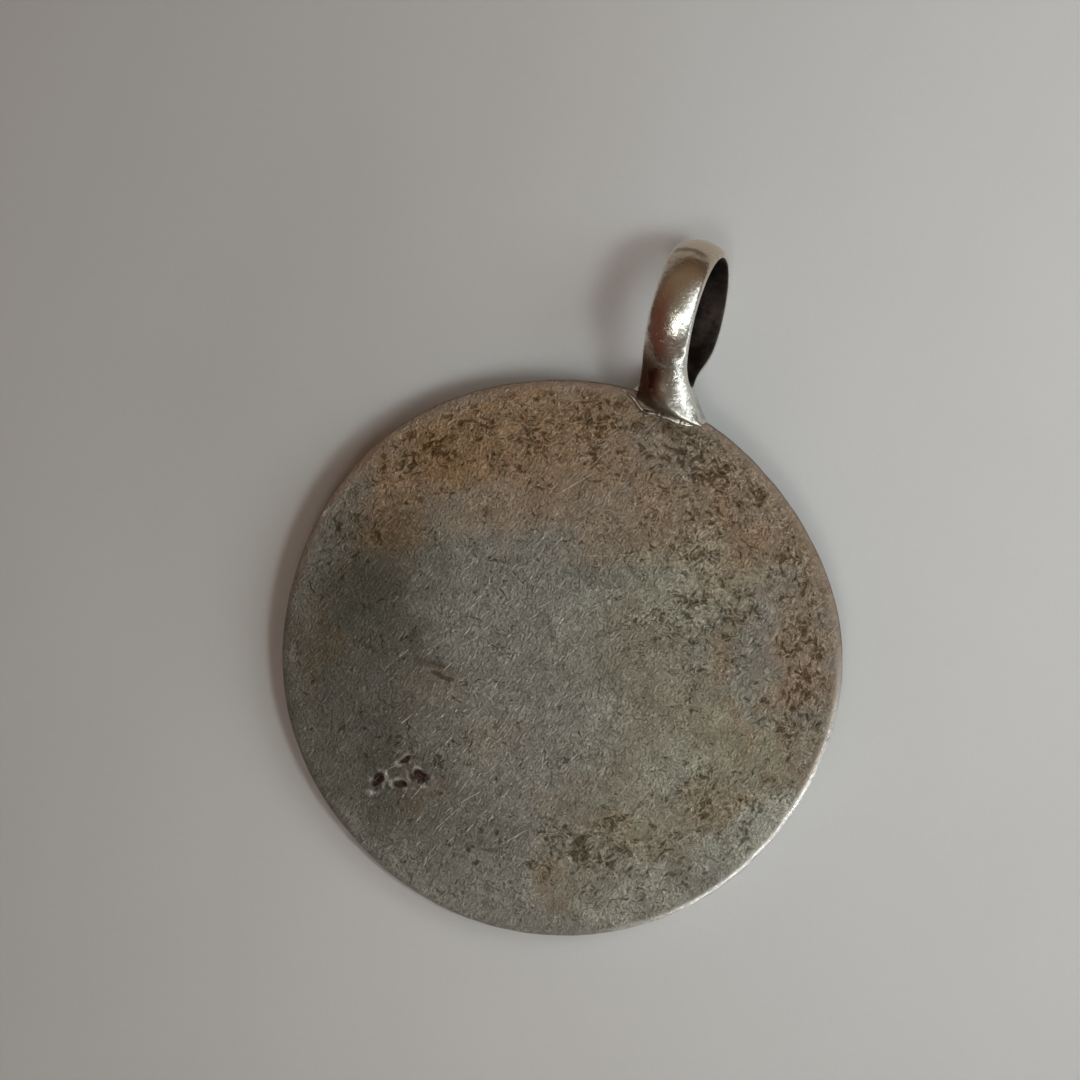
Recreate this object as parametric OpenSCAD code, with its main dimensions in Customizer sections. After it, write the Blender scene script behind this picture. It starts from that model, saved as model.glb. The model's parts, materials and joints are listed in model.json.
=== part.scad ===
// Round silver pendant: a hand-made disc with a domed band soldered to its rim as a bail.
// It lies face down, as it rests by itself: on the far rim of the disc and the side of the band.
// Millimetres, +Z up, +Y from the disc to the bail, origin at the bottom centre of the whole part.

/* [Disc] */
// Mean radius of the disc
disc_r = 14.05; // [12:0.05:16]
// Thickness of the disc
disc_t = 1.1; // [1:0.05:1.6]
// How far the worn edge is rounded
edge_round = 0.4; // [0.2:0.05:0.45]
// Height of the hand-cut waves in the outline, as a share of the measured ones
outline_wave = 1; // [0:0.1:1.5]

/* [Bail] */
// Radius of the hole that the chain passes through
hole_r = 3.25; // [2.6:0.05:3.8]
// Width of the band, along the hole
band_w = 2.25; // [1.6:0.05:3]
// Thickness of the band at its middle
band_t = 0.7; // [0.5:0.05:1]
// Thickness of the band at its two edges
band_edge = 0.35; // [0.2:0.05:0.4]
// Gap between the disc's rim and the band, which the foot fills
bail_gap = 0.25; // [0.1:0.05:0.5]
// How far the ring's centre lies below the middle of the disc, towards its face
bail_drop = 0.3; // [0:0.05:0.6]
// Turn of the hole away from square to the disc, in the plane of the disc
bail_lean = 7; // [0:1:12]
// Tip of the hole out of the plane of the disc
bail_tip = 13; // [6:1:18]

/* [Foot] */
// Width of the soldered foot where it meets the rim of the disc
foot_w = 4.1; // [3.4:0.1:4.6]
// How far the middle of the foot lies to the right of the disc's centre line
foot_shift = 0.7; // [0.2:0.1:0.9]
// How far the foot laps over the back of the disc
foot_lap = 0.65; // [0.5:0.05:1]
// Height of the front lip above the back of the disc
lip_rise = 0.12; // [0.05:0.01:0.3]
// How far the lip stops short of the foot at each side
lip_short = 0.5; // [0.3:0.05:0.7]

/* [Hidden] */

// Outline of the disc, and the waves in it: number round the rim, height, angle of a crest.
// A flat between two points lies at the far rim, so that the disc rests on a short edge.
outline_points = 48;
outline_waves = [
    [2, 0.10, -36],
    [3, 0.035, 25],
    [4, 0.035, 25],
    [5, 0.035, 11],
    [6, 0.04, 26],
];
wave_count = 0;
wave_height = 1;
wave_crest = 2;

// Steps round the worn edge: 90 is where it meets the flat, 0 the rim
edge_angles = [0, 30, 60, 90];

// Band: a dome over a flat inner wall
dome_rise = band_t - band_edge;
dome_r = (pow(band_w / 2, 2) + pow(dome_rise, 2)) / (2 * dome_rise);
dome_path_r = hole_r + band_t - dome_r;
ring_r = hole_r + band_t;
bore_stock = 0.3;
bore_extra = 0.5;
bail_reach = disc_r + bail_gap + ring_r;

// Part of the band that the foot grows out of, as angles from the point nearest the disc
foot_low = -14;
foot_high = 34;
foot_depth = 0.35;
foot_corner_r = 0.3;
foot_inset = 0.08;
round_facets = 32;

// Direction of the hole, before the pendant is laid down
hole_axis = [cos(bail_tip) * cos(bail_lean), cos(bail_tip) * sin(bail_lean), sin(bail_tip)];

function total(values) = values * [for (value = values) 1];
function rim_r(angle) = disc_r + outline_wave * total([
    for (wave = outline_waves)
        wave[wave_height] * cos(wave[wave_count] * (angle - wave[wave_crest]))
]);

// Outline of the disc, drawn in by an inset
function outline(inset) = [
    for (i = [0 : outline_points - 1])
        let (angle = 360 * (i + 0.5) / outline_points, r = rim_r(angle) - inset)
            [r * cos(angle), r * sin(angle)]
];

// Inset and height above the middle plane of one step of the worn edge
function step_inset(angle) = edge_round * (1 - cos(angle));
function step_height(angle) = disc_t / 2 - edge_round * (1 - sin(angle));

// Faces of a closed stack of levels, each a ring of outline_points
function stack_faces(levels) = concat(
    [[for (i = [0 : outline_points - 1]) i]],
    [for (level = [0 : levels - 2], i = [0 : outline_points - 1])
        let (here = level * outline_points, next = (i + 1) % outline_points)
            [here + i, here + outline_points + i, here + outline_points + next, here + next]],
    [[for (i = [1 : outline_points]) levels * outline_points - i]]
);

// Resting pose: the far rim and the lowest point of the dome touch the same floor
far_rim = max([for (point = outline(0)) -point.y]);
left_rim = min([for (point = outline(0)) point.x]);
right_rim = max([for (point = outline(0)) point.x]);

function disc_height(tilt) =
    max([for (angle = edge_angles)
        (far_rim - step_inset(angle)) * sin(tilt) + step_height(angle) * cos(tilt)]);
function rest_axis(tilt) = [
    hole_axis.x,
    hole_axis.y * cos(tilt) - hole_axis.z * sin(tilt),
    hole_axis.y * sin(tilt) + hole_axis.z * cos(tilt)
];
function dome_reach(tilt, way) = dome_path_r * sqrt(1 - pow(rest_axis(tilt) * way, 2)) + dome_r;
function ring_height(tilt) = disc_height(tilt) + bail_reach * sin(tilt) - bail_drop * cos(tilt);
function ring_clearance(tilt) = ring_height(tilt) - dome_reach(tilt, [0, 0, 1]);
function rest_tilt(low, high, halvings) =
    let (middle = (low + high) / 2)
    halvings == 0 ? middle
    : ring_clearance(middle) > 0 ? rest_tilt(low, middle, halvings - 1)
    : rest_tilt(middle, high, halvings - 1);

tilt = rest_tilt(0, 20, 40);
near_end = -max([for (angle = edge_angles)
    (far_rim - step_inset(angle)) * cos(tilt) - step_height(angle) * sin(tilt)]);
ring_y = bail_reach * cos(tilt) + bail_drop * sin(tilt);
bail_end = ring_y + dome_reach(tilt, [0, 1, 0]);
shift = [-(left_rim + right_rim) / 2, -(near_end + bail_end) / 2, disc_height(tilt)];

// Where the hole's middle lies and which way it runs, for whoever hangs the pendant
echo(hole_middle = [shift.x, shift.y + ring_y, ring_height(tilt)], hole_direction = rest_axis(tilt));

// Disc: one outline, drawn in by a quarter round at the face and at the back
module disc_plate() {
    below = [for (i = [len(edge_angles) - 1 : -1 : 0]) [-step_height(edge_angles[i]), edge_angles[i]]];
    above = [for (angle = edge_angles) [step_height(angle), angle]];
    levels = concat(below, above);
    points = [for (level = levels, point = outline(step_inset(level[1]))) [point.x, point.y, level[0]]];
    color("darkgray")
        polyhedron(points, stack_faces(len(levels)));
}

// Moves what is drawn round the Z axis to the ring, with Z along the hole and X away from the disc
module at_ring() {
    translate([0, bail_reach, -bail_drop])
        rotate([0, 0, bail_lean])
            rotate([0, -bail_tip, 0])
                rotate([0, 90, 0])
                    rotate([0, 0, 90])
                        children();
}

// Cross-section of the band: a circle cut off at the inner wall and at both edges,
// drawn in by an inset where it only carries the foot
module band_section(inner_r, inset) {
    intersection() {
        translate([dome_path_r, 0])
            circle(dome_r - inset);
        translate([inner_r, inset - band_w / 2])
            square([ring_r - inner_r, band_w - 2 * inset]);
    }
}

module bail_band() {
    color("silver")
        at_ring()
            rotate_extrude($fn = round_facets * 3)
                band_section(hole_r - bore_stock, 0);
}

// One bar of the foot, lying across the disc under its back
module foot_bar(half_width, top) {
    for (side = [-1, 1])
        translate([
            foot_shift + side * (half_width - foot_corner_r),
            disc_r - foot_lap + foot_corner_r,
            disc_t / 2 - foot_depth
        ])
            cylinder(foot_depth + top, r = foot_corner_r, $fn = round_facets);
}

// Foot: from a stretch of the band down to a lapped lip and the rim of the disc
module bail_foot() {
    color("silver")
        hull() {
            foot_bar(foot_w / 2, 0);
            foot_bar(foot_w / 2 - lip_short, lip_rise);
            at_ring()
                rotate([0, 0, 180 - foot_high])
                    rotate_extrude(angle = foot_high - foot_low, $fn = round_facets)
                        band_section(hole_r + foot_inset, foot_inset);
        }
}

module chain_hole() {
    at_ring()
        cylinder(band_w + 2 * bore_extra, r = hole_r, center = true, $fn = round_facets * 3);
}

// The disc, the band and the foot are soldered, so they are one solid
module pendant() {
    translate(shift)
        rotate([tilt, 0, 0])
            difference() {
                union() {
                    disc_plate();
                    bail_band();
                    bail_foot();
                }
                chain_hole();
            }
}

pendant();
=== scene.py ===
"""Looks of the round silver pendant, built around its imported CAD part."""
import json
import math

import bpy
import numpy as np
from bpy.props import FloatProperty, FloatVectorProperty, IntProperty, PointerProperty
from mathutils import Euler, Matrix, Vector, noise
from mathutils.geometry import delaunay_2d_cdt


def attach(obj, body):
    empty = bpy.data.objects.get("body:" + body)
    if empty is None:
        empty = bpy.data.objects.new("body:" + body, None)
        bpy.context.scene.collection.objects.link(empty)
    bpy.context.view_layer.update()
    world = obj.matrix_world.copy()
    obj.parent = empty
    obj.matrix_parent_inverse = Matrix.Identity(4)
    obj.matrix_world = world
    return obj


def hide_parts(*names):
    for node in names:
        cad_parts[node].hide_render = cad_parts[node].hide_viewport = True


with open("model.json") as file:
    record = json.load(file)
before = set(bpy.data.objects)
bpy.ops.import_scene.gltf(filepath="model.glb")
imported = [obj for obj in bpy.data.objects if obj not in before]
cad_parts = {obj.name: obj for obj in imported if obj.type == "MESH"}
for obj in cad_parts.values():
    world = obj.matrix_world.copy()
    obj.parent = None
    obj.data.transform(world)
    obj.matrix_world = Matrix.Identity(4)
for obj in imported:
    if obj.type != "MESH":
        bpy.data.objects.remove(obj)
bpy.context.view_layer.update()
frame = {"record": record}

bl_info = {
    "name": "Round silver pendant",
    "version": (1, 0, 0),
    "blender": (4, 5, 0),
    "location": "View3D > Sidebar > Pendant",
    "description": "Builds a tarnished silver disc pendant with a polished ring bail, and its stage",
    "category": "Object",
}

MM = 0.001

# The pendant lies with its bail at one o'clock: this far round from the row frame's +Y
CLOCK_TURN = math.radians(20.17)


# Where the pendant lies. Its places are worked out flat, in millimetres: the disc's middle plane
# at z 0, its back up and the bail towards +Y. "Clock" places are turned so that the bail is at
# one o'clock, as it lies.


def hole_direction(sizes):
    """Direction of the bail's hole on the flat pendant."""
    return Vector((
        math.cos(sizes.bail_tip) * math.cos(sizes.bail_lean),
        math.cos(sizes.bail_tip) * math.sin(sizes.bail_lean),
        math.sin(sizes.bail_tip),
    ))


def hole_middle(sizes):
    """Middle of the bail's hole on the flat pendant."""
    reach = sizes.disc_radius + sizes.bail_gap + sizes.hole_radius + sizes.band_thickness
    return Vector((0, reach, -sizes.bail_drop)) / MM


def resting_place(sizes):
    """Tilt and shift, in millimetres, that lay the flat pendant down as the CAD part lies."""
    mount = frame["record"]["mounts"][0]
    flat, lying = hole_direction(sizes), Vector(mount["axis"])
    tilt = math.atan2(lying.z, lying.y) - math.atan2(flat.z, flat.y)
    shift = Vector(mount["pos_m"]) / MM - Matrix.Rotation(tilt, 3, "X") @ hole_middle(sizes)
    return tilt, shift


def lay_down(points, sizes):
    """Flat millimetre points as metres in the row frame."""
    tilt, shift = resting_place(sizes)
    turn = np.array(Matrix.Rotation(tilt, 3, "X"))
    return (points @ turn.T + np.array(shift)) * MM


def on_stage(x, y, z, sizes):
    """A point given in millimetres from the disc's middle, right, up the picture and above the floor."""
    shift = resting_place(sizes)[1]
    place = Matrix.Rotation(CLOCK_TURN, 3, "Z") @ Vector((x, y, 0))
    return Vector((place.x + shift.x, place.y + shift.y, z)) * MM


# Small numbers that vary smoothly over a surface


def smooth(values, low, high):
    """0 at low, 1 at high and a soft step between them."""
    share = np.clip((values - low) / (high - low), 0, 1)
    return share * share * (3 - 2 * share)


def ripple(points, size, layer):
    """Smooth noise from about -1 to 1, with bumps about size across, different in each layer."""
    return np.array([noise.noise(Vector((*(point / size), layer))) for point in points])


def ripple_3d(points, size, layer):
    """The same over points in space."""
    drift = Vector((layer, -layer, layer))
    return np.array([noise.noise(Vector(point / size) + drift) for point in points])


def waves(points, table, noise_over=ripple):
    """Sum of smooth noises, each with its height, its size and its layer."""
    return sum(height * noise_over(points, size, layer) for height, size, layer in table)


# Disc

# Waves of the hand-cut outline: number round the rim, height in mm, angle of a crest
OUTLINE_WAVES = [(2, 0.10, -36), (3, 0.035, 25), (4, 0.035, 25), (5, 0.035, 11), (6, 0.04, 26)]

# Relief: height and size of its bumps in mm, and their layer. The back's, where it is worn near
# the rim and where it is pitted, the nicks in the rim, and the face's
BACK_WAVES = [(0.028, 5.5, 1), (0.010, 2.2, 2)]
WORN_WAVES = [(0.008, 0.9, 3), (0.007, 0.45, 4)]
EATEN_WAVES = [(0.010, 0.7, 5), (0.008, 0.36, 6)]
EATEN_DEPTH = 0.008
RIM_NICKS = [(0.02, 1.3, 7), (0.012, 0.5, 8)]
FACE_WAVES = [(0.02, 4, 12)]

# Dents in the back: clock x and y, half length, half width, turn, depth
PUNCHED = [
    (-9.20, -6.10, 0.52, 0.26, 62, 0.10),
    (-8.10, -6.35, 0.40, 0.22, -12, 0.09),
    (-7.10, -5.95, 0.50, 0.36, -40, 0.14),
    (-7.85, -5.10, 0.34, 0.16, 30, 0.06),
]
KNOCKS = [
    (-6.10, -0.75, 0.75, 0.16, -23, 0.030),
    (-5.60, -0.98, 0.32, 0.18, -15, 0.040),
    (-12.90, -1.70, 0.27, 0.09, -35, 0.020),
    (-9.90, -3.50, 0.22, 0.10, -10, 0.025),
    (-8.65, -4.05, 0.32, 0.09, 60, 0.030),
    (-8.20, -3.90, 0.24, 0.10, 20, 0.030),
    (-10.60, -7.10, 0.14, 0.11, 0, 0.020),
    (-8.90, -2.50, 0.15, 0.09, 0, 0.020),
    (-8.45, -2.45, 0.14, 0.09, 0, 0.020),
    (-4.05, -8.70, 0.34, 0.12, -58, 0.035),
    (-3.60, -9.70, 0.55, 0.09, -12, 0.025),
    (-2.85, -9.80, 0.22, 0.09, 10, 0.020),
    (-5.40, -10.00, 0.24, 0.11, 70, 0.020),
    (-6.00, 3.35, 0.13, 0.09, 0, 0.015),
    (1.00, 10.30, 0.24, 0.09, -10, 0.025),
    (-3.35, 10.10, 0.24, 0.09, -50, 0.020),
    (-6.20, 8.40, 0.22, 0.08, 10, 0.020),
    (-7.70, 7.90, 0.13, 0.11, 0, 0.020),
    (-10.80, 7.80, 0.32, 0.11, 80, 0.030),
    (9.80, -1.10, 0.18, 0.13, 30, 0.030),
    (9.40, -2.00, 0.24, 0.10, -30, 0.020),
    (2.20, -7.50, 0.22, 0.13, -30, 0.020),
    (1.10, -9.00, 0.24, 0.10, -50, 0.020),
    (3.60, -9.90, 0.26, 0.11, 85, 0.025),
    (3.40, -11.70, 0.26, 0.13, 75, 0.025),
    (5.60, -10.90, 0.20, 0.16, 0, 0.020),
    (7.30, -10.80, 0.22, 0.13, 20, 0.020),
    (5.20, -5.60, 0.22, 0.09, -20, 0.020),
    (7.50, -10.00, 0.36, 0.09, -25, 0.020),
]
# Stains on the back, the dark ones partly painted shade: clock x and y, half length, half width, turn,
# strength
STAINS = {
    "brown": [
        (-2.0, 11.8, 12.0, 4.6, 6, 0.95),
        (-7.5, 8.6, 5.5, 3.4, 45, 0.55),
        (-9.0, 6.2, 4.0, 2.6, 50, 0.20),
        (1.5, 7.6, 7.5, 3.4, -12, 0.45),
        (9.4, 8.4, 6.5, 3.6, -52, 0.60),
        (12.6, 1.4, 7.5, 2.6, -84, 0.52),
        (8.4, 0.6, 3.2, 1.3, 80, 0.45),
        (11.4, -1.9, 1.8, 1.5, 0, 0.40),
        (8.6, -3.4, 2.4, 1.3, -60, 0.35),
        (11.6, -4.6, 3.4, 1.6, -70, 0.40),
        (8.0, -7.2, 3.0, 2.0, 15, 0.34),
        (2.6, -8.6, 4.0, 1.9, 0, 0.28),
        (-0.4, -10.8, 1.4, 1.9, 10, 0.40),
        (0.2, -7.0, 3.0, 1.3, 10, 0.20),
        (-3.4, -3.8, 2.6, 2.0, 0, 0.20),
        (7.4, 6.0, 5.6, 3.4, -40, 0.40),
        (4.2, 9.3, 3.4, 2.2, -20, 0.35),
    ],
    # Darker places: some dark tarnish, and painted shade that darkens the left of the disc as the light
    # falls off there
    "dark": [
        (-10.4, -0.8, 6.8, 12.0, 0, 0.78),
        (-8.9, 5.0, 4.4, 5.8, -25, 0.38),
        (-12.8, -0.5, 3.0, 7.0, 0, 0.12),
        (-7.0, -7.6, 6.0, 4.6, -40, 0.45),
        (-6.2, 10.6, 3.0, 1.7, 30, 0.30),
        (-7.2, 0.2, 2.2, 0.8, -40, 0.30),
        (-6.1, -0.9, 1.5, 0.6, -25, 0.45),
        (4.4, 1.6, 1.9, 1.1, 20, 0.20),
        (3.0, -0.2, 2.4, 1.5, 0, 0.26),
        (-0.4, -10.8, 1.0, 1.6, 10, 0.20),
        (4.6, 12.6, 2.4, 1.2, -20, 0.50),
        (5.2, 11.9, 2.2, 0.7, -22, 0.45),
        (0.8, 4.6, 2.6, 1.0, -10, 0.18),
        (-3.0, -9.0, 2.5, 2.0, 0, 0.12),
    ],
    "olive": [
        (7.0, -5.5, 8.0, 6.6, 0, 0.72),
        (5.0, 1.5, 6.5, 5.0, 30, 0.55),
        (6.8, 5.0, 5.0, 4.0, 0, 0.50),
        (2.5, -10.5, 5.5, 4.2, 0, 0.50),
    ],
    "rose": [
        (-2.8, 7.4, 4.6, 2.6, 15, 0.65),
        (-10.6, 9.6, 4.0, 1.7, 45, 0.50),
        (-6.5, -1.6, 2.2, 1.6, 0, 0.25),
        (-11.4, 0.6, 0.5, 0.9, 0, 0.50),
        (11.6, -0.2, 3.2, 2.4, 90, 0.65),
        (-7.2, -7.2, 1.8, 1.0, 10, 0.35),
        (-12.4, 1.0, 4.5, 1.5, 88, 0.30),
    ],
    "brushed": [
        (2.4, -2.6, 1.7, 2.4, 10, 0.40),
        (6.2, 3.4, 3.4, 2.0, -20, 0.45),
        (6.6, 5.6, 3.2, 2.0, -20, 0.50),
        (9.6, -8.7, 3.4, 2.2, 50, 1.20),
        (3.2, -12.2, 3.6, 1.2, 12, 0.70),
        (4.5, -10.6, 1.7, 1.2, 0, 0.60),
        (5.6, -5.6, 3.0, 2.3, 20, 0.50),
        (9.6, -2.8, 1.2, 1.3, 0, 0.15),
        (12.2, 0.2, 2.4, 1.1, 90, 0.60),
        (1.0, 2.4, 2.8, 1.0, 30, 0.35),
        (7.4, -9.0, 1.0, 0.7, 0, 0.40),
    ],
    "pitted": [
        (-6.4, 11.2, 5.2, 2.0, 35, 0.50),
        (-9.8, 7.0, 5.0, 2.4, 55, 0.36),
        (0.5, 11.7, 8.0, 3.2, 0, 0.58),
        (8.4, 9.8, 5.5, 2.6, -48, 0.62),
        (12.4, 2.6, 8.5, 1.9, -86, 0.69),
        (11.8, -3.2, 3.8, 2.0, -75, 0.69),
        (8.0, -7.3, 4.2, 2.8, 0, 0.56),
        (2.0, -9.6, 5.5, 2.8, 0, 0.78),
        (-3.5, -9.0, 3.0, 2.0, 0, 0.22),
        (7.0, 3.0, 5.5, 6.0, 0, 0.50),
        (6.4, 8.0, 4.6, 3.2, -40, 0.40),
    ],
    "scratched": [
        (-3.0, -1.0, 9.0, 10.0, 0, 1.0),
        (-6.0, -8.0, 6.0, 5.0, 0, 0.6),
    ],
}

# What the disc's material reads from its points
VALUES_READ = (*STAINS, "punched", "lips", "knocked", "from_edge")

# Noises in the tarnish: how far aside, size in mm, detail, roughness, warp and which of their
# values are spread out from 0 to 1
GRAINS = {
    "small": (13, 5, 0.30, 1.5, 0.5, 1.8, None),
    "gate": (5, 15, 0.8, 2.0, 0.6, 0.0, None),
    "cloud": (3, 9, 1.15, 3.0, 0.6, 0.0, None),
    "broad": (17, 27, 2.8, 2.0, 0.5, 0.0, None),
    "clump": (33, 12, 1.7, 2.0, 0.6, 0.5, (0.36, 0.64)),
    "felt": (0, 0, 0.13, 2.0, 0.7, 0.8, None),
    "curl": (7, 3, 0.27, 2.0, 0.6, 1.6, (0.34, 0.66)),
    "patch": (21, 4, 0.55, 2.0, 0.6, 0.6, (0.35, 0.65)),
}

# Short scratches: how far aside, size of the cells with one in some, half length and half width in
# mm, turn and how far it varies in degrees, and the share of the cells
SCRATCHES = {
    "fine": (0, 0, 0.45, 0.20, 0.034, 50, 18, 0.8),
    "middling": (5, 2, 0.9, 0.36, 0.040, 48, 14, 0.6),
    "long": (9, 8, 2.1, 1.0, 0.036, 40, 14, 0.35),
    "crossing": (2, 6, 1.3, 0.5, 0.030, 64, 30, 0.4),
}

# Pits are drawn out along the rim: by how much, and the radius where that holds
PIT_STRETCH = 1.5
RIM_PITS_RADIUS = 12.0

# Long bright scratches and flecks, and one painted glint: clock x and y, half length, half width, turn,
# strength
BRIGHT = [
    (0.70, 8.85, 1.55, 0.055, 31, 0.8),
    (2.75, 8.60, 1.45, 0.045, 39, 0.5),
    (0.80, 6.70, 0.40, 0.055, 34, 0.9),
    (-4.20, 2.90, 0.80, 0.070, 46, 1.0),
    (-3.60, 1.70, 0.85, 0.050, 40, 0.7),
    (-2.80, 4.20, 0.22, 0.070, 50, 0.9),
    (-0.80, 2.80, 0.90, 0.050, 31, 0.6),
    (-2.25, 4.75, 0.30, 0.050, 49, 0.8),
    (9.45, -2.90, 0.24, 0.060, 30, 1.2),
    (6.65, -7.55, 0.15, 0.090, 60, 1.8),
    (-1.80, -8.00, 0.20, 0.090, 60, 1.4),
    # Painted highlight: a glint on the upper-left rim
    (-11.75, 7.45, 0.42, 0.130, 55, 1.4),
]

# Where the worn edge is rubbed bright: clock x and y, half length, half width, turn
RUBBED = (10.4, -9.2, 15.5, 6.5, 48)

# Worn edge: how deep the back's is for its width, where it is widest and where it is rubbed to a
# facet, as angles from the right as it lies, and how flat that facet is
BACK_BEVEL = 0.6
EDGE_WIDEST = 140
FACET_MIDDLE = -46
FACET_FLATNESS = 0.75

# Steps over the worn edge as angles: from the back down to the rim, and on to the face
BACK_STEPS = np.radians(np.arange(90, -1, -10))
FACE_STEPS = np.radians(np.arange(0, -91, -15))

# Dents: height of their lips for their depth, and the part of the back that needs finer faces
LIP_SHARE = 0.22
PUNCH_MIDDLE = np.array([-8.1, -5.9])
PUNCH_REACH = 2.3


def outline_radius(angles, sizes):
    """Radius of the hand-cut outline, in mm, at angles from the flat pendant's +X."""
    radius = np.full_like(angles, sizes.disc_radius / MM)
    for count, height, crest in OUTLINE_WAVES:
        radius += height * np.cos(count * (angles - math.radians(crest)))
    return radius


def edge_width(angles, sizes):
    """How far in the worn edge reaches, in mm: widest at the upper left as it lies."""
    lean = np.cos(angles - CLOCK_TURN - math.radians(EDGE_WIDEST))
    lean = 1 + 0.20 * lean + 0.15 * edge_facet(angles)
    return sizes.edge_round / MM * lean


def edge_facet(angles):
    """How far the worn edge is rubbed to a flat facet: 1 at the lower right as it lies."""
    return smooth(np.cos(angles - CLOCK_TURN - math.radians(FACET_MIDDLE)), 0.45, 0.85)


def to_clock(points):
    """Flat x and y turned so that the bail is at one o'clock."""
    turn = np.array(Matrix.Rotation(-CLOCK_TURN, 2))
    return points[:, :2] @ turn.T


def oval_reach(clock, x, y, half_length, half_width, turn):
    """How far out of an oval's middle places are: 1 on its rim."""
    local = (clock - (x, y)) @ np.array(Matrix.Rotation(math.radians(turn), 2))
    return np.hypot(local[:, 0] / half_length, local[:, 1] / half_width)


def dented(clock, dents):
    """Height of the dents with their lips, and how much of a dent and of a lip each point is."""
    height, inside, lips = np.zeros(len(clock)), np.zeros(len(clock)), np.zeros(len(clock))
    for x, y, half_length, half_width, turn, depth in dents:
        near = np.abs(clock - (x, y)).max(1) < 3 * half_length
        reach = oval_reach(clock[near], x, y, half_length, half_width, turn)
        reach += 0.45 * ripple(clock[near], 0.28, x)
        dip = 1 - smooth(reach, 0.45, 1.1)
        lip = np.exp(-((reach - 1.35) / 0.3) ** 2)
        height[near] += depth * (LIP_SHARE * lip - dip)
        inside[near] = np.maximum(inside[near], dip)
        lips[near] = np.maximum(lips[near], lip * smooth(ripple(clock[near], 0.5, x + 1), -0.1, 0.3))
    return height, inside, lips


def bent(clock, size, by, layer):
    """Places pushed about by noise, which makes the outline of what is laid on them ragged."""
    push = np.stack([ripple(clock, size, layer), ripple(clock, size, layer + 0.5)], 1)
    return clock + by * push


def stained(clock, table):
    """Sum of soft ovals, each with its strength."""
    total = np.zeros(len(clock))
    for *oval, strength in table:
        total += strength * (1 - smooth(oval_reach(clock, *oval), 0.2, 1.0))
    return total


def back_values(points, from_edge):
    """Relief over the flat back in mm, and the shares of stains, painted shade, pits and dents, of every
    point.
    """
    clock = to_clock(points)
    out = np.hypot(clock[:, 0], clock[:, 1])
    ragged = bent(bent(clock, 1.6, 1.3, 31), 0.45, 0.35, 35)
    values = {name: stained(ragged, table) for name, table in STAINS.items()}
    worn = 0.25 + 0.75 * smooth(out, 7, 12)
    relief = waves(clock, BACK_WAVES) + worn * waves(clock, WORN_WAVES)
    eaten = np.clip(values["pitted"], 0, 1) * smooth(from_edge, 0.35, 0.9)
    relief += eaten * (waves(clock, EATEN_WAVES) - EATEN_DEPTH)
    punched, values["punched"], values["lips"] = dented(clock, PUNCHED)
    knocked, values["knocked"], _ = dented(clock, KNOCKS)
    values["relief"] = relief + punched + knocked
    return values


def lattice(spacing, half):
    """Points of a triangular lattice over a square."""
    rows = np.arange(-half, half, spacing * math.sqrt(3) / 2)
    columns = np.arange(-half, half, spacing)
    return np.array([
        (x + (row % 2) * spacing / 2, y) for row, y in enumerate(rows) for x in columns
    ])


def filled(boundary, inner):
    """Triangles over a closed boundary and the points inside it, with the boundary's first."""
    count = len(boundary)
    edges = [(i, (i + 1) % count) for i in range(count)]
    coords = [Vector(point) for point in np.vstack([boundary, inner])]
    _, _, faces, origins, _, _ = delaunay_2d_cdt(coords, edges, [], 1, 1e-7)
    return [[origins[corner][0] for corner in face] for face in faces]


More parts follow.
